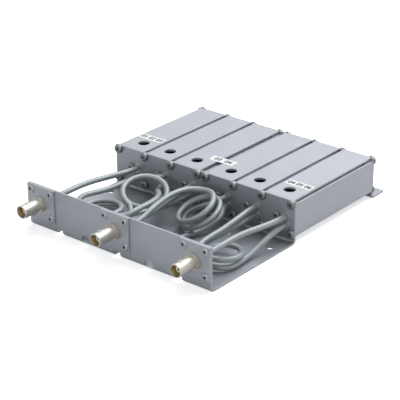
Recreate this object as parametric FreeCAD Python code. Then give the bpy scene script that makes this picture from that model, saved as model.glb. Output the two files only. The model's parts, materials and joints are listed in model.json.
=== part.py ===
import FreeCAD, Part
import math
import os
from FreeCAD import Vector

# Six-cavity duplexer. A folded tray carries three coaxial jacks on its front panel, and its rear
# upright closes the front of two three-cell extrusions. A second plate closes their rear and folds
# out into a mounting foot. Coaxial jumpers in the open bay join the jacks and the cavities.
# X runs along the panel from left to right, Y runs back from the panel's front face, Z is up,
# and z = 0 is the underside of the tray and of the foot. Millimetres. The files are written with
# Y moved, so that the origin is under the middle of the part's outline.

# Sheet metal
sheet = 1.5
bend_inside = 2.0
tray_w = 165.0
panel_h = 33.0
bay_len = 91.0
foot_len = 16.7

# Cavity extrusions: three cells each, with a screw channel over and under every cell boundary
block_top = 32.5
extrusion_h = 28.4
extrusion_gap = 1.4
extrusion_len = 95.0
cell_wall = 1.6
channel_w = 3.2
channel_depth = 2.9
channel_wall = 1.2
inner_channel_shift = 0.2
outer_channel_inset = 2.9
corner_inset = 2.1
corner_drop = 2.2
access_hole_d = 8.8
access_hole_back = 12.7

# Connector plates and jacks
plate_side = 25.4
rivet_pitch = 18.3
rivet_head_d = 6.4
rivet_d = 3.2
rivet_head_h = 1.1
rivet_crown_d = 4.3
rivet_bore_d = 1.9
rivet_tail_d = 4.6
rivet_tail_len = 3.0
jack_barrel_d = 9.6
jack_barrel_bore = 8.1
jack_bore_depth = 8.6
jack_reach = 19.0
jack_collar_d = 11.4
jack_collar_len = 3.4
jack_neck_d = 8.2
jack_neck_len = 2.4
jack_stem_d = 9.2
jack_stem_fit = 0.1
jack_tail_y = 12.0
jack_nut_flats = 12.5
jack_nut_h = 2.6
lug_d = 2.0
lug_span = 11.0
lug_back = 5.2
insulator_d = 4.8
insulator_proud = 5.0
contact_d = 2.2
contact_bore = 1.4
contact_proud = 0.6
contact_slot = 0.3

# Screws
case_head_d = 7.0
case_head_h = 2.4
case_shank_d = 3.0
case_screw_len = 10.0
centre_head_d = 5.6
centre_head_h = 2.0
centre_shank_d = 2.8
centre_screw_len = 8.0
screw_fit = 0.1
crown_share = 0.64
rim_share = 0.45
screw_hole_fit = 0.6

# Coaxial jumpers and their ferrules
coax_d = 4.1
coax_fit = 0.1
entry_x = 8.0
entry_low_z = 13.8
entry_rise = 6.0
ferrule_collar_d = 5.6
ferrule_collar_h = 1.0
ferrule_sleeve_d = 4.9
ferrule_fit = 0.1
ferrule_inside = 1.5
pin_d = 1.0
pin_len = 2.5
antenna_cable_gap = 0.8

# Routes of the jumpers. They are drawn for this tray width and this bay length and stretch with them.
drawn_w = 165.0
drawn_bay = 91.0
straight_lead = 11.0
short_lead = 7.6
coil_step = 30.0
flat_across = (1.0, 0.0, 0.0)
flat_up = (0.0, 1.0, 0.0)
ring_across = (0.771, 0.637, 0.0)
ring_up = (-0.598, 0.725, 0.342)
lean_across = (0.803, -0.596, 0.0)
lean_up = (0.530, 0.714, 0.453)
arc_share = 0.45

# Inside each cavity
support_w = 10.0
support_h = 8.0
support_len = 22.0
rod_d = 7.0
spigot_d = 4.0
spigot_len = 5.0
spigot_fit = 0.1
stator_d = 9.0
stator_h = 5.0
axle_d = 3.0
axle_fit = 0.1
axle_end_gap = 0.5
rotor_d = 7.6
rotor_h = 1.6
rotor_lift = 0.3
rotor_slot_w = 1.2
rotor_slot_depth = 0.8
strip_t = 0.6
strip_w = 3.0
strip_len = 52.0
strip_head_len = 6.0
strip_head_h = 9.5

# Holes and notches in the sheet metal
base_hole_d = 5.0
base_hole_front = 16.5
base_hole_insets = (8.5, 46.0)
foot_hole_spread = 20.5
notch_w = 6.6
notch_h = 4.3
notch_depth = 12.0
arch_d = 7.3
arch_z = 3.3

# Labels on the cavity tops
label_w = 21.5
label_len = 8.0
label_t = 0.1
label_behind_hole = 10.6
label_shift = 1.0

# Values worked out from the ones above
half_w = tray_w / 2
upright_back = bay_len + sheet
rear_y = upright_back + extrusion_len
block_bottom = block_top - extrusion_h
mid_z = block_bottom + extrusion_h / 2
extrusion_w = (tray_w - extrusion_gap) / 2
cell_pitch = (extrusion_w - 2 * corner_inset) / 3
extrusion_x = half_w - extrusion_w / 2
inner_channel_x = cell_pitch / 2 - inner_channel_shift
outer_channel_x = extrusion_w / 2 - outer_channel_inset
jack_x = half_w - plate_side / 2
jack_z = panel_h - plate_side / 2
plate_front = -sheet
mouth_y = plate_front - jack_reach
entry_high_z = entry_low_z + entry_rise
cable_end_y = upright_back + ferrule_inside
strip_front = cable_end_y + pin_len
access_y = upright_back + access_hole_back
middle_y = (mouth_y + rear_y + foot_len) / 2
bend_outside = bend_inside + sheet
cell_x = [side * extrusion_x + step * cell_pitch for side in (-1, 1) for step in (-1, 0, 1)]
base_hole_x = [half_w - inset for inset in base_hole_insets]
foot_hole_x = (extrusion_x - foot_hole_spread, extrusion_x + foot_hole_spread)
label_x = cell_x[-1] + label_shift
entry_places = [(x + entry_x, z) for x in cell_x for z in (entry_low_z, entry_high_z)]
channel_x = (-outer_channel_x, -inner_channel_x, inner_channel_x, outer_channel_x)
case_screw_x = [side * extrusion_x + x for side in (-1, 1) for x in channel_x]
case_screw_z = (block_bottom + channel_depth, block_top - channel_depth)
jack_places = {"left": -jack_x, "centre": 0.0, "right": jack_x}


def box(x0, x1, y0, y1, z0, z1):
    return Part.makeBox(x1 - x0, y1 - y0, z1 - z0, Vector(x0, y0, z0))


def rod(x, y, z, radius, length, axis=(0, 1, 0)):
    return Part.makeCylinder(radius, length, Vector(x, y, z), Vector(*axis))


def turned(profile, x, z):
    """Revolve (radius, y) points about the line along Y through x and z."""
    points = [Vector(x + radius, y, z) for radius, y in profile]
    face = Part.Face(Part.makePolygon(points + points[:1]))
    return face.revolve(Vector(x, 0, z), Vector(0, 1, 0), 360)


def rounded_bends(shape, bends):
    """Round the folds that run along X. Each bend is (y, z, radius)."""
    for y, z, radius in bends:
        edges = [edge for edge in shape.Edges
                 if all(abs(v.Y - y) < 1e-6 and abs(v.Z - z) < 1e-6 for v in edge.Vertexes)]
        shape = shape.makeFillet(radius, edges)
    return shape


def write(name, solids):
    """Write one node, moved back so that the origin is under the middle of the whole part."""
    shape = solids[0] if len(solids) == 1 else Part.makeCompound(solids)
    shape.translate(Vector(0, -middle_y, 0))
    shape.exportStep("parts/" + name + ".step")


def end_plate_holes(y, screw_holes_only=False):
    """Everything drilled through an end plate whose front face is at y."""
    holes = [rod(x, y - sheet, z, (case_shank_d + screw_hole_fit) / 2, 3 * sheet)
             for x in case_screw_x for z in case_screw_z]
    holes += [rod(x, y - sheet, mid_z, (centre_shank_d + screw_hole_fit) / 2, 3 * sheet) for x in cell_x]
    if not screw_holes_only:
        holes += [rod(x, y - sheet, z, (ferrule_sleeve_d + ferrule_fit) / 2, 3 * sheet)
                  for x, z in entry_places]
    return holes


def chassis_tray():
    """Panel, base and rear upright folded from one sheet, open at both ends."""
    tray = box(-half_w, half_w, 0, upright_back, 0, panel_h)
    tray = tray.cut(box(-half_w, half_w, sheet, bay_len, sheet, panel_h))
    tray = tray.cut(box(-half_w, half_w, bay_len, upright_back, block_top, panel_h))
    tray = rounded_bends(tray, [(0, 0, bend_outside), (upright_back, 0, bend_outside),
                                (sheet, sheet, bend_inside), (bay_len, sheet, bend_inside)])
    holes = end_plate_holes(bay_len)
    for x in jack_places.values():
        holes.append(rod(x, -sheet, jack_z, (jack_stem_d + jack_stem_fit) / 2, 3 * sheet))
        holes += [rod(px, -sheet, pz, (rivet_d + screw_fit) / 2, 3 * sheet) for px, pz in rivet_places(x)]
    for x in base_hole_x:
        holes += [rod(side * x, bay_len - base_hole_front, -sheet, base_hole_d / 2, 3 * sheet, (0, 0, 1))
                  for side in (-1, 1)]
    inner_x = extrusion_x - inner_channel_x
    outer_x = extrusion_x + inner_channel_x
    for x in (-outer_x, 0.0, outer_x):
        holes.append(box(x - notch_w / 2, x + notch_w / 2, -sheet, notch_depth, -sheet, notch_h))
    for x in (-inner_x, inner_x):
        arch = rod(x, -sheet, arch_z, arch_d / 2, 3 * sheet)
        holes.append(arch.common(box(x - arch_d, x + arch_d, -sheet, 2 * sheet, sheet, panel_h)))
    return tray.cut(holes)


def rivet_places(x):
    reach = rivet_pitch / 2
    return [(x + sx * reach, jack_z + sz * reach) for sx in (-1, 1) for sz in (-1, 1)]


def rear_end_plate():
    """Plate that closes the rear of both extrusions and folds out into the mounting foot."""
    plate = box(-half_w, half_w, rear_y, rear_y + foot_len, 0, block_top)
    plate = plate.cut(box(-half_w, half_w, rear_y + sheet, rear_y + foot_len, sheet, block_top))
    plate = rounded_bends(plate, [(rear_y, 0, bend_outside), (rear_y + sheet, sheet, bend_inside)])
    holes = end_plate_holes(rear_y, screw_holes_only=True)
    foot_y = rear_y + (foot_len + bend_outside) / 2
    holes += [rod(side * x, foot_y, -sheet, base_hole_d / 2, 3 * sheet, (0, 0, 1))
              for x in foot_hole_x for side in (-1, 1)]
    return plate.cut(holes)


def extrusion(centre):
    """Three-cell aluminium extrusion with screw channels open to its top and its underside."""
    x0, x1 = centre - extrusion_w / 2, centre + extrusion_w / 2
    y0, y1 = upright_back, rear_y
    z0, z1 = block_bottom, block_top
    body = box(x0, x1, y0, y1, z0, z1)
    wall_x = [x0 + corner_inset - cell_wall / 2, centre - inner_channel_x,
              centre + inner_channel_x, x1 - corner_inset + cell_wall / 2]
    cells = [box(left + cell_wall / 2, right - cell_wall / 2, y0, y1, z0 + cell_wall, z1 - cell_wall)
             for left, right in zip(wall_x, wall_x[1:])]
    body = body.cut(cells)
    boss_r = channel_w / 2 + channel_wall
    bosses, channels = [], []
    for z_edge, down in ((z1, -1), (z0, 1)):
        z = z_edge + down * channel_depth
        for x in channel_x:
            bosses.append(rod(centre + x, y0, z, boss_r, extrusion_len))
            bosses.append(slab(centre + x, boss_r, z, z_edge, y0, y1))
            channels.append(rod(centre + x, y0, z, channel_w / 2, extrusion_len))
        for x in (-inner_channel_x, inner_channel_x):
            channels.append(slab(centre + x, channel_w / 2, z, z_edge, y0, y1))
        low, high = sorted((z_edge, z_edge + down * corner_drop))
        channels.append(box(x0, x0 + corner_inset, y0, y1, low, high))
        channels.append(box(x1 - corner_inset, x1, y0, y1, low, high))
    outline = box(x0, x1, y0, y1, z0, z1)
    body = body.fuse([boss.common(outline) for boss in bosses]).cut(channels)
    holes = [rod(x, access_y, mid_z, access_hole_d / 2, extrusion_h, (0, 0, 1))
             for x in cell_x if x0 < x < x1]
    return body.cut(holes).removeSplitter()


def slab(x, half, z_a, z_b, y0, y1):
    return box(x - half, x + half, y0, y1, min(z_a, z_b), max(z_a, z_b))


def jack_plate(x):
    reach = plate_side / 2
    plate = box(x - reach, x + reach, plate_front, 0, jack_z - reach, jack_z + reach)
    holes = [rod(x, -2 * sheet, jack_z, (jack_stem_d + jack_stem_fit) / 2, 3 * sheet)]
    holes += [rod(px, -2 * sheet, pz, (rivet_d + screw_fit) / 2, 3 * sheet) for px, pz in rivet_places(x)]
    return plate.cut(holes)


def jack_body(x):
    """Bayonet jack: barrel with two lugs, neck, collar, threaded stem and closed tail."""
    collar_y = plate_front - jack_collar_len
    neck_y = collar_y - jack_neck_len
    barrel_r, bore_r = jack_barrel_d / 2, jack_barrel_bore / 2
    chamfer = (barrel_r - bore_r) / 2
    profile = [(0, jack_tail_y), (jack_stem_d / 2, jack_tail_y), (jack_stem_d / 2, plate_front),
               (jack_collar_d / 2, plate_front), (jack_collar_d / 2, collar_y),
               (jack_neck_d / 2, collar_y), (jack_neck_d / 2, neck_y), (barrel_r, neck_y),
               (barrel_r, mouth_y + chamfer), (barrel_r - chamfer, mouth_y), (bore_r, mouth_y),
               (bore_r, mouth_y + jack_bore_depth), (0, mouth_y + jack_bore_depth)]
    body = turned(profile, x, jack_z)
    lug_y = mouth_y + lug_back
    lug = rod(x, lug_y, jack_z - lug_span / 2, lug_d / 2, lug_span, (0, 0, 1))
    inside = rod(x, mouth_y, jack_z, (barrel_r + bore_r) / 2, jack_bore_depth)
    seat = rod(x, mouth_y, jack_z, insulator_d / 2, jack_bore_depth + sheet)
    return body.fuse(lug.cut(inside)).cut(seat)


def jack_insulator(x):
    bottom = mouth_y + jack_bore_depth + sheet
    front = mouth_y + jack_bore_depth - insulator_proud
    sleeve = rod(x, front, jack_z, insulator_d / 2, bottom - front)
    return sleeve.cut(rod(x, front, jack_z, contact_d / 2, bottom - front))


def jack_contact(x):
    """Centre contact: a slotted socket inside the insulator."""
    bottom = mouth_y + jack_bore_depth + sheet
    front = mouth_y + jack_bore_depth - insulator_proud - contact_proud
    socket = rod(x, front, jack_z, contact_d / 2, bottom - front)
    bore = rod(x, front, jack_z, contact_bore / 2, insulator_proud)
    slot = box(x - contact_slot / 2, x + contact_slot / 2, front, front + insulator_proud,
               jack_z - contact_d, jack_z + contact_d)
    return socket.cut([bore, slot])


def jack_nut(x):
    reach = jack_nut_flats / math.sqrt(3)
    corners = [Vector(x + reach * math.cos(math.radians(60 * step)), sheet,
                      jack_z + reach * math.sin(math.radians(60 * step))) for step in range(7)]
    nut = Part.Face(Part.makePolygon(corners)).extrude(Vector(0, jack_nut_h, 0))
    return nut.cut(rod(x, sheet, jack_z, (jack_stem_d + jack_stem_fit) / 2, jack_nut_h))


def plate_rivet(x, z):
    """Blind rivet: flanged head, hollow shank through plate and panel, spread tail behind."""
    head_y = plate_front - rivet_head_h
    tail_y = sheet + rivet_tail_len
    profile = [(rivet_bore_d / 2, head_y), (rivet_crown_d / 2, head_y), (rivet_head_d / 2, plate_front),
               (rivet_d / 2, plate_front), (rivet_d / 2, sheet), (rivet_tail_d / 2, sheet),
               (rivet_d / 2, tail_y), (0, tail_y), (0, plate_front), (rivet_bore_d / 2, plate_front)]
    return turned(profile, x, z)


def screw(x, y, z, head_d, head_h, shank_d, length, way):
    """Pan-head screw whose head rests on a face at y and whose shank runs along way, +1 or -1."""
    tip = shank_d / 2
    profile = [(0, -head_h), (crown_share * head_d / 2, -head_h), (head_d / 2, -rim_share * head_h),
               (head_d / 2, 0), (shank_d / 2, 0), (shank_d / 2, length - tip), (0, length)]
    return turned([(radius, y + way * along) for radius, along in profile], x, z)


def case_screws(y, way):
    return [screw(x, y, z, case_head_d, case_head_h, case_shank_d, case_screw_len, way)
            for x in case_screw_x for z in case_screw_z]


def centre_screws(y, way):
    return [screw(x, y, mid_z, centre_head_d, centre_head_h, centre_shank_d, centre_screw_len, way)
            for x in cell_x]


def rod_support(x):
    """Insulating block behind the front plate that holds the resonator's open end."""
    y0, y1 = upright_back, upright_back + support_len
    block = box(x - support_w / 2, x + support_w / 2, y0, y1, mid_z - support_h / 2, mid_z + support_h / 2)
    return block.cut([rod(x, y0, mid_z, (centre_shank_d + screw_fit) / 2, centre_screw_len),
                      rod(x, y1 - spigot_len, mid_z, (spigot_d + spigot_fit) / 2, spigot_len)])


def resonator_rod(x):
    """Resonator grounded on the rear plate, with a spigot in the support block."""
    front = upright_back + support_len
    body = rod(x, front, mid_z, rod_d / 2, rear_y - front)
    body = body.fuse(rod(x, front - spigot_len + screw_fit, mid_z, spigot_d / 2, spigot_len))
    return body.cut(rod(x, rear_y - centre_screw_len, mid_z,
                        (centre_shank_d + screw_fit) / 2, centre_screw_len))


def trimmer_stator(x):
    z0 = mid_z + support_h / 2
    cup = rod(x, access_y, z0, stator_d / 2, stator_h, (0, 0, 1))
    return cup.cut(rod(x, access_y, z0 + axle_end_gap, (axle_d + axle_fit) / 2, stator_h, (0, 0, 1)))


def trimmer_rotor(x):
    """Slotted tuning rotor under the access hole; it turns on its axle in the stator."""
    z0 = mid_z + support_h / 2 + stator_h + rotor_lift
    disc = rod(x, access_y, z0, rotor_d / 2, rotor_h, (0, 0, 1))
    axle_len = stator_h + rotor_lift - 2 * axle_end_gap
    axle = rod(x, access_y, z0 - axle_len, axle_d / 2, axle_len, (0, 0, 1))
    slot = box(x - rotor_d, x + rotor_d, access_y - rotor_slot_w / 2, access_y + rotor_slot_w / 2,
               z0 + rotor_h - rotor_slot_depth, z0 + rotor_h)
    return disc.fuse(axle).cut(slot)


def coupling_strip(cell):
    """Copper strip from the two cable pins back beside the resonator and down to the cell floor."""
    x0, x1 = cell + entry_x - strip_t / 2, cell + entry_x + strip_t / 2
    y0, y1 = strip_front, strip_front + strip_len
    pins_z = entry_low_z + entry_rise / 2
    floor = block_bottom + cell_wall
    head = box(x0, x1, y0, y0 + strip_head_len, pins_z - strip_head_h / 2, pins_z + strip_head_h / 2)
    arm = box(x0, x1, y0, y1, mid_z - strip_w / 2, mid_z + strip_w / 2)
    leg = box(x0, x1, y1 - strip_w, y1, floor, mid_z)
    sole = box(x1 - strip_w, x1, y1 - strip_w, y1, floor, floor + strip_t)
    return head.fuse([arm, leg, sole]).removeSplitter()


def cable_ferrule(x, z):
    collar = rod(x, bay_len - ferrule_collar_h, z, ferrule_collar_d / 2, ferrule_collar_h)
    sleeve = rod(x, bay_len - ferrule_collar_h, z, ferrule_sleeve_d / 2,
                 ferrule_collar_h + sheet + ferrule_inside)
    bore = rod(x, bay_len - ferrule_collar_h, z, (coax_d + coax_fit) / 2, 3 * sheet + ferrule_inside)
    return collar.fuse(sleeve).cut(bore)


def cable_pin(x, z):
    return rod(x, cable_end_y, z, pin_d / 2, pin_len)


def cavity_label(x):
    y = access_y + label_behind_hole
    return box(x - label_w / 2, x + label_w / 2, y - label_len / 2, y + label_len / 2,
               block_top, block_top + label_t)


def drawn(*points):
    """Route points chosen by hand, stretched from the drawn size to the present one."""
    return [(x * tray_w / drawn_w, y * bay_len / drawn_bay, z) for x, y, z in points]


def coil(centre, across, up, radius, start, sweep, drift):
    """Points of a coil. It turns in the plane of across and up while its centre drifts."""
    count = math.ceil(abs(sweep) / coil_step)
    points = []
    for step in range(count + 1):
        done = step / count
        angle = math.radians(start + sweep * done)
        points.append(tuple(c + radius * (math.cos(angle) * a + math.sin(angle) * u) + d * done
                            for c, a, u, d in zip(centre, across, up, drift)))
    return drawn(*points)


def entry(cell, level, lead):
    """Last straight run of a jumper, ending inside a cavity flush with its ferrule's rear end."""
    x = cell_x[cell - 1] + entry_x
    return [(x, cable_end_y - lead, level), (x, cable_end_y, level)]


def tail(x):
    """First straight run of a jumper, from the tail of a jack."""
    return [(x, jack_tail_y, jack_z), (x, jack_tail_y + straight_lead, jack_z)]


def jumper_routes():
    """The route of every jumper as the corners of its path."""
    low, high = entry_low_z, entry_high_z
    beside = (coax_d + antenna_cable_gap) / 2
    return {
        "left_jack_to_cavity_1": tail(-jack_x)
        + drawn((-68.0, 45.0, 21.2), (-62.6, 68.0, 20.4))
        + entry(1, high, straight_lead),
        "right_jack_to_cavity_6": tail(jack_x)
        + drawn((70.5, 45.0, 21.4), (73.6, 68.0, 20.0))
        + entry(6, high, straight_lead),
        "cavity_1_to_cavity_2": entry(1, low, straight_lead)[::-1]
        + drawn((-58.2, 71.5, 14.4), (-57.4, 60.5, 14.8), (-58.4, 50.0, 15.4), (-60.6, 41.0, 16.0),
                (-61.8, 33.0, 16.6), (-59.2, 25.4, 16.8))
        + coil((-41.2, 29.0, 16.6), flat_across, flat_up, 15.2, 222.0, 840.0, (0.0, 0.0, -11.4))
        + drawn((-22.6, 35.5, 6.8), (-25.8, 45.0, 12.8))
        + coil((-28.2, 61.4, 19.4), ring_across, ring_up, 16.4, 212.0, -477.0, (-4.9, 5.6, -3.9))
        + entry(2, high, short_lead),
        "cavity_2_to_cavity_3": entry(2, low, straight_lead)[::-1]
        + drawn((-28.0, 74.5, 14.8), (-17.5, 64.5, 20.2), (-8.6, 54.5, 23.6), (-4.0, 43.5, 25.0),
                (-3.4, 33.0, 25.4), (-4.0, 24.0, 24.9), (-5.6, 17.4, 23.0), (-9.9, 13.5, 21.1),
                (-15.5, 13.5, 19.0), (-19.8, 17.4, 17.0), (-21.4, 24.0, 15.2), (-20.4, 32.5, 13.6),
                (-17.4, 41.5, 12.6), (-13.5, 51.0, 12.4), (-10.0, 61.0, 12.8), (-8.3, 72.0, 13.8))
        + entry(3, low, straight_lead),
        "centre_jack_to_cavity_3": tail(-beside)
        + drawn((-3.6, 37.0, 16.0), (-5.8, 54.0, 17.4), (-7.4, 69.0, 19.0))
        + entry(3, high, straight_lead),
        "centre_jack_to_cavity_4": tail(beside)
        + drawn((2.4, 33.0, 24.4), (0.4, 45.0, 25.0), (-1.4, 56.0, 25.2), (-0.6, 66.5, 25.6),
                (4.0, 75.5, 25.8))
        + coil((13.6, 65.1, 19.9), lean_across, lean_up, 15.8, 128.0, -588.0, (7.2, 2.4, -6.7))
        + drawn((4.2, 65.0, 6.5), (2.4, 71.5, 8.6), (6.4, 76.4, 11.4), (13.4, 78.6, 14.8))
        + entry(4, high, short_lead),
        "cavity_4_to_cavity_5": entry(4, low, short_lead)[::-1]
        + drawn((28.6, 78.8, 11.2), (28.6, 71.0, 8.6), (25.4, 61.5, 4.9), (21.4, 51.5, 3.8),
                (18.4, 40.5, 3.8), (19.6, 29.0, 4.6), (26.6, 18.6, 5.6), (35.6, 18.2, 6.8),
                (41.6, 25.0, 7.8), (42.8, 35.0, 8.4), (43.5, 48.0, 8.8), (45.4, 60.0, 9.6),
                (48.6, 72.0, 12.2))
        + entry(5, low, straight_lead),
        "cavity_5_to_cavity_6": entry(5, high, straight_lead)[::-1]
        + drawn((49.0, 69.0, 17.2), (48.3, 55.0, 14.8), (47.0, 42.5, 13.4))
        + coil((61.0, 36.5, 12.2), flat_across, flat_up, 14.6, 195.0, 500.0, (0.5, 0.0, -8.2))
        + drawn((74.4, 42.0, 4.0), (73.4, 54.0, 4.6), (73.8, 68.0, 8.8))
        + entry(6, low, straight_lead),
    }


def jumper(name, route):
    """Coaxial jumper swept along straight runs and the tangent arcs that round its corners."""
    corners = [Vector(*point) for point in route]
    edges, here, radii = [], corners[0], []
    for before, corner, after in zip(corners, corners[1:], corners[2:]):
        into, away = corner - before, after - corner
        cut = arc_share * min(into.Length, away.Length)
        into.normalize()
        away.normalize()
        half_turn = into.getAngle(away) / 2
        radius = cut / math.tan(half_turn)
        inward = away - into
        inward.normalize()
        start, end = corner - into * cut, corner + away * cut
        middle = corner + inward * (radius / math.cos(half_turn) - radius)
        edges += [Part.LineSegment(here, start).toShape(), Part.Arc(start, middle, end).toShape()]
        here = end
        radii.append(radius)
    edges.append(Part.LineSegment(here, corners[-1]).toShape())
    path = Part.Wire(edges)
    disc = Part.Face(Part.Wire(Part.makeCircle(coax_d / 2, corners[0], corners[1] - corners[0])))
    tube = path.makePipe(disc)
    expected = path.Length * math.pi * coax_d ** 2 / 4
    print("%s length %.1f, tightest radius %.1f, volume / expected %.4f"
          % (name, path.Length, min(radii), tube.Volume / expected))
    return tube


os.makedirs("parts", exist_ok=True)
write("chassis_tray", [chassis_tray()])
write("rear_end_plate", [rear_end_plate()])
write("cavity_extrusion_left", [extrusion(-extrusion_x)])
write("cavity_extrusion_right", [extrusion(extrusion_x)])
for place, at in jack_places.items():
    write("jack_plate_" + place, [jack_plate(at)])
    write("jack_body_" + place, [jack_body(at)])
    write("jack_insulator_" + place, [jack_insulator(at)])
    write("jack_contact_" + place, [jack_contact(at)])
write("jack_nuts", [jack_nut(at) for at in jack_places.values()])
write("plate_rivets", [plate_rivet(px, pz) for at in jack_places.values() for px, pz in rivet_places(at)])
write("front_case_screws", case_screws(bay_len, 1))
write("rear_case_screws", case_screws(rear_y + sheet, -1))
write("front_centre_screws", centre_screws(bay_len, 1))
write("rear_rod_screws", centre_screws(rear_y + sheet, -1))
for number, at in enumerate(cell_x, start=1):
    write("resonator_rod_%d" % number, [resonator_rod(at)])
    write("trimmer_stator_%d" % number, [trimmer_stator(at)])
    write("trimmer_rotor_%d" % number, [trimmer_rotor(at)])
write("rod_supports", [rod_support(at) for at in cell_x])
write("coupling_strips", [coupling_strip(at) for at in cell_x])
write("cable_ferrules", [cable_ferrule(px, pz) for px, pz in entry_places])
write("cable_pins", [cable_pin(px, pz) for px, pz in entry_places])
write("cavity_labels", [cavity_label(at) for at in (-label_x, 0.0, label_x)])
for name, route in jumper_routes().items():
    write("coax_" + name, [jumper(name, route)])
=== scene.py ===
import bpy
import bmesh
import json
import math
from mathutils import Matrix, Vector


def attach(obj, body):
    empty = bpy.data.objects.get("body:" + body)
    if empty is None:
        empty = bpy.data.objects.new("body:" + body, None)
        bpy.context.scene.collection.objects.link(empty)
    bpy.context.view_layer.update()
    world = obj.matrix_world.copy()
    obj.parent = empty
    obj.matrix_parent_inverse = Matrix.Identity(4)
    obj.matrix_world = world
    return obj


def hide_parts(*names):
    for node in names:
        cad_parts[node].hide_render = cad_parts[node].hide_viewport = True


# Looks of the duplexer over its CAD frame. Points are written in the part source's own frame,
# in millimetres with Y from the panel's front face, and at() turns them into the row frame.
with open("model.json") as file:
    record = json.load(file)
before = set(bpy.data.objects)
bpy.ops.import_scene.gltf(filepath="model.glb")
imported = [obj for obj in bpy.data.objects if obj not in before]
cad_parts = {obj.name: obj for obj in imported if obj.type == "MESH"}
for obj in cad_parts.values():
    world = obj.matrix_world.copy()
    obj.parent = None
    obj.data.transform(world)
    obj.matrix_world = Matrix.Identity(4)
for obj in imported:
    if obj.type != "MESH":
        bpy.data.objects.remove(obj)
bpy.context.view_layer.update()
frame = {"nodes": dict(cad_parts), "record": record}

MM = 0.001
MIDDLE_Y = 91.85
SHEET = 1.5
BAY_LEN = 91.0
REAR_Y = 187.5
BLOCK_TOP = 32.5
MID_Z = 18.3
CABLE_END_Y = 94.0
JACK_TAIL_Y = 12.0
EXTRUSION_X = 41.6
CELL_PITCH = 77.6 / 3
CELL_X = [side * EXTRUSION_X + step * CELL_PITCH for side in (-1, 1) for step in (-1, 0, 1)]
CHANNEL_X = (-38.0, 0.2 - CELL_PITCH / 2, CELL_PITCH / 2 - 0.2, 38.0)
CASE_SCREW_X = [side * EXTRUSION_X + x for side in (-1, 1) for x in CHANNEL_X]
CASE_SCREW_Z = (7.0, 29.6)
JACK_X = 69.8
JACK_Z = 20.3
ENTRY_X = 8.0
LOW = 13.8
HIGH = 19.8
COAX_D = 4.1
STRAIGHT_LEAD = 11.0
SHORT_LEAD = 7.6
BESIDE = 2.45
COIL_STEP = 30.0
RIVET_PITCH = 18.3
RIVET_SIDES = 36
ACCESS_Y = 105.2
LABEL_BEHIND_HOLE = 10.6
LABEL_SHIFT = 1.0
NUMBER_SIZE = 6.0
NUMBER_MAX_W = 19.0
NUMBER_LIFT = 0.17
STROKE_STEP = 0.11
STROKE_LIFT = 0.01


def at(x, y, z):
    return Vector((x * MM, (y - MIDDLE_Y) * MM, z * MM))


def put(name, mesh, material):
    """Add a piece in the row frame that rides on the housing."""
    obj = bpy.data.objects.new(name, mesh)
    bpy.context.scene.collection.objects.link(obj)
    mesh.materials.clear()
    mesh.materials.append(material)
    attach(obj, "housing")
    return obj


def nodes_of(material):
    material.use_nodes = True
    tree = material.node_tree
    return tree, tree.nodes["Principled BSDF"]


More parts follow.
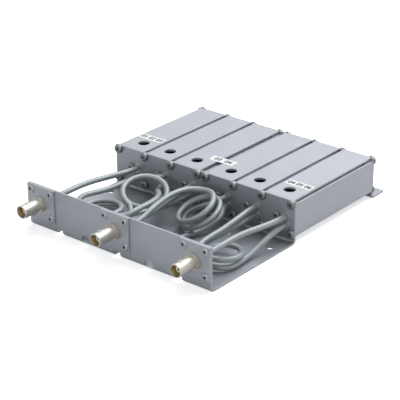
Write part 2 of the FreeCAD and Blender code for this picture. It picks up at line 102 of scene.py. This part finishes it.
def surface(name, color, metallic=0.0, roughness=0.4, grain=(900, 900, 900), tone=0.05, bump=0.12,
            depth=0.00004, wear=0.35, worn=(0.75, 0.75, 0.76), edge=0.0004, span=0.14, painted_shade_reach=0.0,
            painted_shade_color=(0.02, 0.02, 0.02), clear=0.9):
    """Procedural finish: fine grain, uneven tone and roughness, and worn, rounded edges. Where a
    painted-shade reach is given, hollows of about that width are painted in the given colour as painted
    shade; clear is the openness where it ends."""
    material = bpy.data.materials.new(name)
    tree, shader = nodes_of(material)
    new, link = tree.nodes.new, tree.links.new
    place = new("ShaderNodeTexCoord")
    stretch = new("ShaderNodeMapping")
    stretch.inputs["Scale"].default_value = grain
    link(place.outputs["Object"], stretch.inputs["Vector"])
    fine = new("ShaderNodeTexNoise")
    fine.inputs["Scale"].default_value = 1.0
    fine.inputs["Detail"].default_value = 6.0
    fine.inputs["Roughness"].default_value = 0.6
    link(stretch.outputs["Vector"], fine.inputs["Vector"])
    broad = new("ShaderNodeTexNoise")
    broad.inputs["Scale"].default_value = 55.0
    broad.inputs["Detail"].default_value = 4.0
    link(place.outputs["Object"], broad.inputs["Vector"])
    blend = new("ShaderNodeMix")
    blend.data_type = "FLOAT"
    blend.inputs[0].default_value = 0.5
    link(fine.outputs["Fac"], blend.inputs[2])
    link(broad.outputs["Fac"], blend.inputs[3])
    tint = new("ShaderNodeMix")
    tint.data_type = "RGBA"
    tint.inputs[6].default_value = [c * (1 - tone * 2) for c in color] + [1]
    tint.inputs[7].default_value = [min(1.0, c * (1 + tone * 2)) for c in color] + [1]
    link(blend.outputs[0], tint.inputs[0])
    rounded = new("ShaderNodeBevel")
    rounded.samples = 6
    rounded.inputs["Radius"].default_value = edge
    flat = new("ShaderNodeNewGeometry")
    dot = new("ShaderNodeVectorMath")
    dot.operation = "DOT_PRODUCT"
    link(rounded.outputs["Normal"], dot.inputs[0])
    link(flat.outputs["Normal"], dot.inputs[1])
    mask = new("ShaderNodeMapRange")
    mask.inputs["From Min"].default_value = 0.995
    mask.inputs["From Max"].default_value = 0.80
    mask.inputs["To Min"].default_value = 0.0
    mask.inputs["To Max"].default_value = wear
    link(dot.outputs["Value"], mask.inputs["Value"])
    rub = new("ShaderNodeMath")
    rub.operation = "MULTIPLY"
    link(mask.outputs["Result"], rub.inputs[0])
    link(broad.outputs["Fac"], rub.inputs[1])
    edges = new("ShaderNodeMix")
    edges.data_type = "RGBA"
    edges.inputs[7].default_value = list(worn) + [1]
    link(rub.outputs["Value"], edges.inputs[0])
    link(tint.outputs[2], edges.inputs[6])
    shown = edges
    # Hollows fade towards the given colour through an ambient-occlusion mask: painted shade in corners and
    # recesses
    if painted_shade_reach:
        hollow = new("ShaderNodeAmbientOcclusion")
        hollow.samples = 8
        hollow.only_local = True
        hollow.inputs["Distance"].default_value = painted_shade_reach
        open_share = new("ShaderNodeMapRange")
        open_share.inputs["From Min"].default_value = 0.3
        open_share.inputs["From Max"].default_value = clear
        link(hollow.outputs["AO"], open_share.inputs["Value"])
        shown = new("ShaderNodeMix")
        shown.data_type = "RGBA"
        shown.inputs[6].default_value = list(painted_shade_color) + [1]
        link(open_share.outputs["Result"], shown.inputs[0])
        link(edges.outputs[2], shown.inputs[7])
    link(shown.outputs[2], shader.inputs["Base Color"])
    rough = new("ShaderNodeMapRange")
    rough.inputs["From Min"].default_value = 0.3
    rough.inputs["From Max"].default_value = 0.7
    rough.inputs["To Min"].default_value = max(0.02, roughness - span / 2)
    rough.inputs["To Max"].default_value = roughness + span / 2
    link(blend.outputs[0], rough.inputs["Value"])
    link(rough.outputs["Result"], shader.inputs["Roughness"])
    relief = new("ShaderNodeBump")
    relief.inputs["Strength"].default_value = bump
    relief.inputs["Distance"].default_value = depth
    link(fine.outputs["Fac"], relief.inputs["Height"])
    link(rounded.outputs["Normal"], relief.inputs["Normal"])
    link(relief.outputs["Normal"], shader.inputs["Normal"])
    shader.inputs["Metallic"].default_value = metallic
    return material


def braid(name):
    """Fine tinned braid, shown as small strands and cells of noise, with slow changes of roughness."""
    material = bpy.data.materials.new(name)
    tree, shader = nodes_of(material)
    new, link = tree.nodes.new, tree.links.new
    place = new("ShaderNodeTexCoord")
    stretch = new("ShaderNodeMapping")
    stretch.inputs["Scale"].default_value = (1400, 1400, 1400)
    link(place.outputs["Object"], stretch.inputs["Vector"])
    strands = new("ShaderNodeTexNoise")
    strands.inputs["Scale"].default_value = 1.0
    strands.inputs["Detail"].default_value = 3.0
    link(stretch.outputs["Vector"], strands.inputs["Vector"])
    cells = new("ShaderNodeTexVoronoi")
    cells.inputs["Scale"].default_value = 1.6
    link(stretch.outputs["Vector"], cells.inputs["Vector"])
    broad = new("ShaderNodeTexNoise")
    broad.inputs["Scale"].default_value = 160.0
    link(place.outputs["Object"], broad.inputs["Vector"])
    mixed = new("ShaderNodeMath")
    mixed.operation = "MULTIPLY"
    link(strands.outputs["Fac"], mixed.inputs[0])
    link(cells.outputs["Distance"], mixed.inputs[1])
    tint = new("ShaderNodeMix")
    tint.data_type = "RGBA"
    tint.inputs[6].default_value = (0.22, 0.25, 0.265, 1)
    tint.inputs[7].default_value = (0.44, 0.48, 0.50, 1)
    link(strands.outputs["Fac"], tint.inputs[0])
    link(tint.outputs[2], shader.inputs["Base Color"])
    rough = new("ShaderNodeMapRange")
    rough.inputs["To Min"].default_value = 0.42
    rough.inputs["To Max"].default_value = 0.58
    link(broad.outputs["Fac"], rough.inputs["Value"])
    link(rough.outputs["Result"], shader.inputs["Roughness"])
    relief = new("ShaderNodeBump")
    relief.inputs["Strength"].default_value = 0.35
    relief.inputs["Distance"].default_value = 0.0001
    link(mixed.outputs["Value"], relief.inputs["Height"])
    link(relief.outputs["Normal"], shader.inputs["Normal"])
    shader.inputs["Metallic"].default_value = 0.38
    return material


# Painted sheet: corners, bends and openings within about 45 mm are painted darker, as painted shade
SHEET_PAINT_AND_SHADE = surface("sheet_paint_and_shade", (0.42, 0.445, 0.485), 0.35, 0.38, (1500, 1500, 1500), 0.03, 0.10,
                       wear=0.18, painted_shade_reach=0.045, painted_shade_color=(0.11, 0.12, 0.135), clear=0.95)
ALLOY_FINISH = surface("extrusion_finish", (0.46, 0.485, 0.535), 0.35, 0.38, (2200, 60, 2200), 0.035, 0.12)
# Nickel-plated jacks: the bore's hollows are painted tan, painted shade with a yellowish painted reflection
# in the mouth
NICKEL = surface("nickel_plating", (0.56, 0.55, 0.505), 0.85, 0.42, (1200, 1200, 1200), 0.03, 0.06,
                 0.00002, 0.3, (0.95, 0.94, 0.90), 0.0002, 0.08, 0.009, (0.66, 0.55, 0.32), 0.68)
GOLD = surface("gold_plating", (0.78, 0.56, 0.24), 1.0, 0.3, (900, 900, 900), 0.05, 0.1, 0.00002)
# Zinc-plated screws: the cross recesses are painted near-black, as painted shade
STEEL = surface("zinc_steel", (0.23, 0.24, 0.25), 0.75, 0.40, (1100, 1100, 1100), 0.05, 0.12, 0.00003, 0.4,
                (0.45, 0.45, 0.46), 0.0002, painted_shade_reach=0.0014)
# Rivet heads: the hollows are painted near-black, as painted shade
RIVET = surface("rivet_alloy", (0.42, 0.44, 0.48), 0.3, 0.42, (1300, 1300, 1300), 0.04, 0.1, 0.00003,
                painted_shade_reach=0.0012)
# Matt near-black: painted shade for the rivets' hollow heads
MANDREL_SHADE = surface("mandrel_painted_shade", (0.012, 0.012, 0.013), 0.0, 0.7, (1300, 1300, 1300), 0.3, 0.1,
                  0.00003, 0.0)
COPPER = surface("bare_copper", (0.72, 0.40, 0.26), 1.0, 0.34, (700, 90, 700), 0.08, 0.12)
# Trimmer rotor brass, darkened to a dull grey-brown as painted shade of the deep trimmer holes
SHADED_BRASS = surface("brass_darkened_as_shade", (0.26, 0.25, 0.225), 0.25, 0.5, (900, 900, 900), 0.06, 0.1, 0.00003, 0.2,
                (0.32, 0.30, 0.26))
CERAMIC = surface("ceramic", (0.80, 0.79, 0.74), 0.0, 0.35, (700, 700, 700), 0.03, 0.06)
PLASTIC = surface("support_plastic", (0.82, 0.82, 0.80), 0.0, 0.5, (800, 800, 800), 0.02, 0.1)
INSULATOR = surface("insulator", (0.86, 0.84, 0.78), 0.0, 0.45, (800, 800, 800), 0.03, 0.08)
PAPER = surface("label_film", (0.90, 0.91, 0.92), 0.0, 0.5, (1600, 1600, 1600), 0.015, 0.05)
INK = surface("label_ink", (0.035, 0.036, 0.04), 0.0, 0.55, (1600, 1600, 1600), 0.2, 0.05)
BRAID = braid("tinned_braid")

FINISHES = {"sheet": SHEET_PAINT_AND_SHADE, "extrusion": ALLOY_FINISH, "nickel_plate": NICKEL, "gold_brass": GOLD,
            "screw_steel": STEEL, "rivet_aluminium": RIVET, "copper": COPPER, "trimmer_brass": SHADED_BRASS,
            "ceramic": CERAMIC, "support_plastic": PLASTIC, "insulator": INSULATOR, "label": PAPER,
            "braid": BRAID}
for part in frame["record"]["subparts"]:
    node = frame["nodes"][part["node"]]
    node.data.materials.clear()
    node.data.materials.append(FINISHES[part["material_slot"]])


def turned(bm, profile, sides):
    """Revolve (radius, y) points about Y into bm. A radius of 0 closes that end with a point."""
    rings = []
    for radius, y in profile:
        if radius == 0:
            rings.append([bm.verts.new((0, y, 0))])
        else:
            rings.append([bm.verts.new((radius * math.cos(2 * math.pi * k / sides), y,
                                        radius * math.sin(2 * math.pi * k / sides)))
                          for k in range(sides)])
    for a, b in zip(rings, rings[1:]):
        for k in range(sides):
            n = (k + 1) % sides
            corners = [a[k % len(a)], a[n % len(a)], b[n % len(b)], b[k % len(b)]]
            unique = [v for i, v in enumerate(corners) if v not in corners[:i]]
            if len(unique) > 2:
                bm.faces.new(unique)


def screw_mesh(head_d, head_h, shank_d, length, recess, sides=40):
    """Pan head with a cross recess and a threaded shank. The head rests at y = 0, the tip is at +y."""
    bm = bmesh.new()
    r = head_d / 2
    dome = [(0, -head_h)]
    dome += [(r * 0.66 * t, -head_h + 0.06 * head_h * t * t) for t in (0.35, 0.7, 1.0)]
    dome += [(r * (0.66 + 0.34 * math.sin(math.radians(a))),
              -head_h * (0.42 + 0.52 * math.cos(math.radians(a)))) for a in (20, 40, 60, 78, 90)]
    dome += [(r, -0.12 * head_h), (r * 0.985, 0.0)]
    turned(bm, dome + [(shank_d / 2, 0.0), (0, 0.0)], sides)
    bmesh.ops.recalc_face_normals(bm, faces=bm.faces)
    head = bpy.data.meshes.new("head")
    bm.to_mesh(head)
    bm.free()
    cutter = bmesh.new()
    for turn in (0, 90):
        corners = []
        for y, half_len, half_w in ((-head_h - 0.2, recess, recess * 0.24),
                                    (-head_h * 0.36, recess * 0.3, recess * 0.14)):
            for sx, sz in ((-1, -1), (1, -1), (1, 1), (-1, 1)):
                x, z = sx * half_len, sz * half_w
                if turn:
                    x, z = -z, x
                corners.append(cutter.verts.new((x, y, z)))
        for face in ((0, 1, 2, 3), (7, 6, 5, 4), (0, 4, 5, 1), (1, 5, 6, 2), (2, 6, 7, 3), (3, 7, 4, 0)):
            cutter.faces.new([corners[k] for k in face])
    bmesh.ops.recalc_face_normals(cutter, faces=cutter.faces)
    cross = bpy.data.meshes.new("cross")
    cutter.to_mesh(cross)
    cutter.free()
    head_obj = bpy.data.objects.new("head", head)
    cross_obj = bpy.data.objects.new("cross", cross)
    for obj in (head_obj, cross_obj):
        bpy.context.scene.collection.objects.link(obj)
    cut = head_obj.modifiers.new("cut", "BOOLEAN")
    cut.operation = "DIFFERENCE"
    cut.solver = "EXACT"
    cut.use_self = True
    cut.object = cross_obj
    done = bpy.data.meshes.new_from_object(head_obj.evaluated_get(bpy.context.evaluated_depsgraph_get()))
    for obj in (head_obj, cross_obj):
        bpy.data.objects.remove(obj)
    bm = bmesh.new()
    bm.from_mesh(done)
    crest, root, pitch = shank_d / 2, shank_d / 2 - 0.26, 0.55
    profile = [(root, 0.0)]
    y = 0.3
    while y < length - crest:
        profile += [(root, y - 0.18), (crest, y), (root, y + 0.18)]
        y += pitch
    profile += [(root, y - 0.2), (0, min(length, y + 0.6))]
    turned(bm, profile, 20)
    bmesh.ops.recalc_face_normals(bm, faces=bm.faces)
    bm.to_mesh(done)
    bm.free()
    return done


def copies(name, mesh, places):
    """One mesh holding a copy for each (point, way, spin): way +1 sends the tip along +Y."""
    bm = bmesh.new()
    for point, way, spin in places:
        piece = mesh.copy()
        turn = Matrix.Rotation(spin, 4, "Y")
        if way < 0:
            turn = Matrix.Rotation(math.pi, 4, "Z") @ turn
        piece.transform(Matrix.Translation(point) @ turn @ Matrix.Scale(MM, 4))
        bm.from_mesh(piece)
        bpy.data.meshes.remove(piece)
    made = bpy.data.meshes.new(name)
    bm.to_mesh(made)
    bm.free()
    for face in made.polygons:
        face.use_smooth = True
    made.set_sharp_from_angle(angle=math.radians(38))
    return made


CASE_SCREW = screw_mesh(7.0, 2.4, 3.0, 10.0, 1.75)
CENTRE_SCREW = screw_mesh(5.6, 2.0, 2.8, 8.0, 1.4)
case_places = [(x, z) for x in CASE_SCREW_X for z in CASE_SCREW_Z]
for name, mesh, spots, y, way in (
        ("front_case_screws", CASE_SCREW, case_places, BAY_LEN, 1),
        ("rear_case_screws", CASE_SCREW, case_places, REAR_Y + SHEET, -1),
        ("front_centre_screws", CENTRE_SCREW, [(x, MID_Z) for x in CELL_X], BAY_LEN, 1),
        ("rear_rod_screws", CENTRE_SCREW, [(x, MID_Z) for x in CELL_X], REAR_Y + SHEET, -1)):
    places = [(at(x, y, z), way, 0.4 + 1.7 * k * way) for k, (x, z) in enumerate(spots)]
    piece = put("screws_" + name, copies("screws_" + name, mesh, places), STEEL)
    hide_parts(name)


def rivet_mesh():
    """Blind rivet with a hollow domed head in front of y = 0 and its set tail behind."""
    bm = bmesh.new()
    head = [(0, -0.2), (1.0, -0.25), (1.12, -0.55), (1.14, -1.04), (1.35, -1.1), (1.7, -1.07), (2.3, -0.93),
            (2.85, -0.62), (3.13, -0.28), (3.2, 0.0)]
    shank = [(1.6, 0.0), (1.6, 3.0), (2.15, 3.2), (2.3, 3.9), (2.1, 4.9), (1.5, 5.7), (0.7, 5.98), (0, 6.0)]
    turned(bm, head + shank, RIVET_SIDES)
    bmesh.ops.recalc_face_normals(bm, faces=bm.faces)
    made = bpy.data.meshes.new("rivet")
    bm.to_mesh(made)
    bm.free()
    return made


reach = RIVET_PITCH / 2
rivet_spots = [(at(x + sx * reach, -SHEET, JACK_Z + sz * reach), 1, 0.0)
               for x in (-JACK_X, 0.0, JACK_X) for sx in (-1, 1) for sz in (-1, 1)]
rivets = put("rivets", copies("rivets", rivet_mesh(), rivet_spots), RIVET)
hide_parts("plate_rivets")

# Broken-off mandrels in the rivets' hollow heads, coloured near-black as painted shade in the hollows
plug = bmesh.new()
turned(plug, [(0, -0.74), (1.08, -0.72), (1.08, -0.3), (0, -0.3)], 24)
bmesh.ops.recalc_face_normals(plug, faces=plug.faces)
plug_mesh = bpy.data.meshes.new("mandrel")
plug.to_mesh(plug_mesh)
plug.free()
put("rivet_mandrels", copies("rivet_mandrels", plug_mesh, rivet_spots), MANDREL_SHADE)

# Routes of the jumpers, as in the part source
FLAT_ACROSS = (1.0, 0.0, 0.0)
FLAT_UP = (0.0, 1.0, 0.0)
RING_ACROSS = (0.771, 0.637, 0.0)
RING_UP = (-0.598, 0.725, 0.342)
LEAN_ACROSS = (0.803, -0.596, 0.0)
LEAN_UP = (0.530, 0.714, 0.453)


def coil(centre, across, up, radius, start, sweep, drift):
    """Points of a coil. It turns in the plane of across and up while its centre drifts."""
    count = math.ceil(abs(sweep) / COIL_STEP)
    points = []
    for step in range(count + 1):
        done = step / count
        angle = math.radians(start + sweep * done)
        points.append(tuple(c + radius * (math.cos(angle) * a + math.sin(angle) * u) + d * done
                            for c, a, u, d in zip(centre, across, up, drift)))
    return points


def entry(cell, level, lead):
    """Last straight run of a jumper, ending at its ferrule's rear end."""
    x = CELL_X[cell - 1] + ENTRY_X
    return [(x, CABLE_END_Y - lead, level), (x, CABLE_END_Y, level)]


def tail(x):
    """First straight run of a jumper, from the tail of a jack."""
    return [(x, JACK_TAIL_Y, JACK_Z), (x, JACK_TAIL_Y + STRAIGHT_LEAD, JACK_Z)]


ROUTES = {
    "left_jack_to_cavity_1": tail(-JACK_X)
    + [(-68.0, 45.0, 21.2), (-62.6, 68.0, 20.4)]
    + entry(1, HIGH, STRAIGHT_LEAD),
    "right_jack_to_cavity_6": tail(JACK_X)
    + [(70.5, 45.0, 21.4), (73.6, 68.0, 20.0)]
    + entry(6, HIGH, STRAIGHT_LEAD),
    "cavity_1_to_cavity_2": entry(1, LOW, STRAIGHT_LEAD)[::-1]
    + [(-58.2, 71.5, 14.4), (-57.4, 60.5, 14.8), (-58.4, 50.0, 15.4), (-60.6, 41.0, 16.0),
       (-61.8, 33.0, 16.6), (-59.2, 25.4, 16.8)]
    + coil((-41.2, 29.0, 16.6), FLAT_ACROSS, FLAT_UP, 15.2, 222.0, 840.0, (0.0, 0.0, -11.4))
    + [(-22.6, 35.5, 6.8), (-25.8, 45.0, 12.8)]
    + coil((-28.2, 61.4, 19.4), RING_ACROSS, RING_UP, 16.4, 212.0, -477.0, (-4.9, 5.6, -3.9))
    + entry(2, HIGH, SHORT_LEAD),
    "cavity_2_to_cavity_3": entry(2, LOW, STRAIGHT_LEAD)[::-1]
    + [(-28.0, 74.5, 14.8), (-17.5, 64.5, 20.2), (-8.6, 54.5, 23.6), (-4.0, 43.5, 25.0),
       (-3.4, 33.0, 25.4), (-4.0, 24.0, 24.9), (-5.6, 17.4, 23.0), (-9.9, 13.5, 21.1),
       (-15.5, 13.5, 19.0), (-19.8, 17.4, 17.0), (-21.4, 24.0, 15.2), (-20.4, 32.5, 13.6),
       (-17.4, 41.5, 12.6), (-13.5, 51.0, 12.4), (-10.0, 61.0, 12.8), (-8.3, 72.0, 13.8)]
    + entry(3, LOW, STRAIGHT_LEAD),
    "centre_jack_to_cavity_3": tail(-BESIDE)
    + [(-3.6, 37.0, 16.0), (-5.8, 54.0, 17.4), (-7.4, 69.0, 19.0)]
    + entry(3, HIGH, STRAIGHT_LEAD),
    "centre_jack_to_cavity_4": tail(BESIDE)
    + [(2.4, 33.0, 24.4), (0.4, 45.0, 25.0), (-1.4, 56.0, 25.2), (-0.6, 66.5, 25.6),
       (4.0, 75.5, 25.8)]
    + coil((13.6, 65.1, 19.9), LEAN_ACROSS, LEAN_UP, 15.8, 128.0, -588.0, (7.2, 2.4, -6.7))
    + [(4.2, 65.0, 6.5), (2.4, 71.5, 8.6), (6.4, 76.4, 11.4), (13.4, 78.6, 14.8)]
    + entry(4, HIGH, SHORT_LEAD),
    "cavity_4_to_cavity_5": entry(4, LOW, SHORT_LEAD)[::-1]
    + [(28.6, 78.8, 11.2), (28.6, 71.0, 8.6), (25.4, 61.5, 4.9), (21.4, 51.5, 3.8),
       (18.4, 40.5, 3.8), (19.6, 29.0, 4.6), (26.6, 18.6, 5.6), (35.6, 18.2, 6.8),
       (41.6, 25.0, 7.8), (42.8, 35.0, 8.4), (43.5, 48.0, 8.8), (45.4, 60.0, 9.6),
       (48.6, 72.0, 12.2)]
    + entry(5, LOW, STRAIGHT_LEAD),
    "cavity_5_to_cavity_6": entry(5, HIGH, STRAIGHT_LEAD)[::-1]
    + [(49.0, 69.0, 17.2), (48.3, 55.0, 14.8), (47.0, 42.5, 13.4)]
    + coil((61.0, 36.5, 12.2), FLAT_ACROSS, FLAT_UP, 14.6, 195.0, 500.0, (0.5, 0.0, -8.2))
    + [(74.4, 42.0, 4.0), (73.4, 54.0, 4.6), (73.8, 68.0, 8.8)]
    + entry(6, LOW, STRAIGHT_LEAD),
}
for name, route in ROUTES.items():
    curve = bpy.data.curves.new("cable_" + name, "CURVE")
    curve.dimensions = "3D"
    curve.bevel_depth = COAX_D / 2 * MM
    curve.bevel_resolution = 6
    curve.resolution_u = 8
    curve.use_fill_caps = True
    line = curve.splines.new("NURBS")
    line.points.add(len(route) - 1)
    for point, (x, y, z) in zip(line.points, route):
        point.co = (*at(x, y, z), 1)
    line.order_u = 3
    line.use_endpoint_u = True
    cable = put("cable_" + name, curve, BRAID)
    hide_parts("coax_" + name)

# Plain cavity numbers on the labels, made bold by copies set side by side
LABEL_Y = ACCESS_Y + LABEL_BEHIND_HOLE
LABEL_X = CELL_X[-1] + LABEL_SHIFT
label_words = (("left", -LABEL_X, "01 02 03"), ("middle", 0.0, "03  04"), ("right", LABEL_X, "04 05 06"))
for name, x, words in label_words:
    text = bpy.data.curves.new("numbers_" + name, "FONT")
    text.body = words
    text.size = NUMBER_SIZE * MM
    text.align_x = "CENTER"
    text.align_y = "CENTER"
    words_obj = bpy.data.objects.new("words", text)
    bpy.context.scene.collection.objects.link(words_obj)
    bpy.context.view_layer.update()
    mesh = bpy.data.meshes.new_from_object(words_obj.evaluated_get(bpy.context.evaluated_depsgraph_get()))
    bpy.data.objects.remove(words_obj)
    width = max(v.co.x for v in mesh.vertices) - min(v.co.x for v in mesh.vertices)
    mesh.transform(Matrix.Scale(min(1.0, NUMBER_MAX_W * MM / width), 4, (1, 0, 0)))
    mesh.transform(Matrix.Translation(at(x, LABEL_Y, BLOCK_TOP + NUMBER_LIFT)))
    bold = bmesh.new()
    for step in (-2, -1, 0, 1, 2):
        stroke = mesh.copy()
        stroke.transform(Matrix.Translation((step * STROKE_STEP * MM, 0, step * STROKE_LIFT * MM)))
        bold.from_mesh(stroke)
        bpy.data.meshes.remove(stroke)
    bold.to_mesh(mesh)
    bold.free()
    put("numbers_" + name, mesh, INK)

# Floor, world and lamps
floor_mesh = bpy.data.meshes.new("floor")
floor_mesh.from_pydata([(-3, -3, 0), (3, -3, 0), (3, 3, 0), (-3, 3, 0)], [], [(0, 1, 2, 3)])
floor = bpy.data.objects.new("floor", floor_mesh)
bpy.context.scene.collection.objects.link(floor)
ground = bpy.data.materials.new("floor_white")
tree, shader = nodes_of(ground)
shader.inputs["Base Color"].default_value = (0.84, 0.84, 0.84, 1)
shader.inputs["Roughness"].default_value = 0.9
shader.inputs["Specular IOR Level"].default_value = 0.0
path = tree.nodes.new("ShaderNodeLightPath")
spot = tree.nodes.new("ShaderNodeTexCoord")
distance = tree.nodes.new("ShaderNodeVectorMath")
distance.operation = "LENGTH"
tree.links.new(spot.outputs["Object"], distance.inputs[0])
far = tree.nodes.new("ShaderNodeMapRange")
far.inputs["From Min"].default_value = 0.2
far.inputs["From Max"].default_value = 0.7
far.inputs["To Min"].default_value = 0.66
far.inputs["To Max"].default_value = 1.0
tree.links.new(distance.outputs["Value"], far.inputs["Value"])
lift = tree.nodes.new("ShaderNodeMath")
lift.operation = "MULTIPLY"
tree.links.new(far.outputs["Result"], lift.inputs[1])
tree.links.new(path.outputs["Is Camera Ray"], lift.inputs[0])
shader.inputs["Emission Color"].default_value = (1, 1, 1, 1)
tree.links.new(lift.outputs["Value"], shader.inputs["Emission Strength"])
floor_mesh.materials.append(ground)

world = bpy.data.worlds.new("studio")
bpy.context.scene.world = world
world.use_nodes = True
tree = world.node_tree
light = tree.nodes["Background"]
light.inputs["Color"].default_value = (0.93, 0.96, 1.0, 1)
light.inputs["Strength"].default_value = 0.2
white = tree.nodes.new("ShaderNodeBackground")
white.inputs["Color"].default_value = (1, 1, 1, 1)
white.inputs["Strength"].default_value = 1.0
path = tree.nodes.new("ShaderNodeLightPath")
first = tree.nodes.new("ShaderNodeMath")
first.operation = "MAXIMUM"
second = tree.nodes.new("ShaderNodeMath")
second.operation = "MAXIMUM"
tree.links.new(path.outputs["Is Camera Ray"], first.inputs[0])
tree.links.new(path.outputs["Is Glossy Ray"], first.inputs[1])
tree.links.new(first.outputs["Value"], second.inputs[0])
tree.links.new(path.outputs["Is Transmission Ray"], second.inputs[1])
choose = tree.nodes.new("ShaderNodeMixShader")
tree.links.new(second.outputs["Value"], choose.inputs["Fac"])
tree.links.new(light.outputs["Background"], choose.inputs[1])
tree.links.new(white.outputs["Background"], choose.inputs[2])
tree.links.new(choose.outputs["Shader"], tree.nodes["World Output"].inputs["Surface"])


def lamp(name, place, aim, size, power):
    data = bpy.data.lights.new(name, "AREA")
    data.shape = "SQUARE"
    data.size = size
    data.energy = power
    obj = bpy.data.objects.new(name, data)
    bpy.context.scene.collection.objects.link(obj)
    obj.location = place
    obj.rotation_euler = (Vector(aim) - Vector(place)).to_track_quat("-Z", "Y").to_euler()


lamp("top_lamp", (0.08, 0.55, 1.08), (0, 0, 0), 1.2, 16.2)
lamp("front_lamp", (0.1, -1.3, 0.25), (0, 0, 0.02), 0.6, 3.9)

# Camera at the photo's angle, from the fit of the part's edges
azimuth, elevation, roll = (math.radians(v) for v in (39.554, 24.693, 0.280))
back = Vector((math.sin(azimuth) * math.cos(elevation), -math.cos(azimuth) * math.cos(elevation),
               math.sin(elevation)))
right = Vector((math.cos(azimuth), math.sin(azimuth), 0))
up = back.cross(right)
side = right * math.cos(roll) - up * math.sin(roll)
top = right * math.sin(roll) + up * math.cos(roll)
place = at(-4.873, 95.0, 7.245) + back * 1.03498
data = bpy.data.cameras.new("photo_camera")
data.sensor_width = 36.0
data.lens = 128.4
data.clip_end = 20.0
camera = bpy.data.objects.new("photo_camera", data)
bpy.context.scene.collection.objects.link(camera)
camera.matrix_world = Matrix(((side.x, top.x, back.x, place.x), (side.y, top.y, back.y, place.y),
                              (side.z, top.z, back.z, place.z), (0, 0, 0, 1)))
bpy.context.scene.camera = camera
bpy.context.scene.view_settings.view_transform = "Standard"
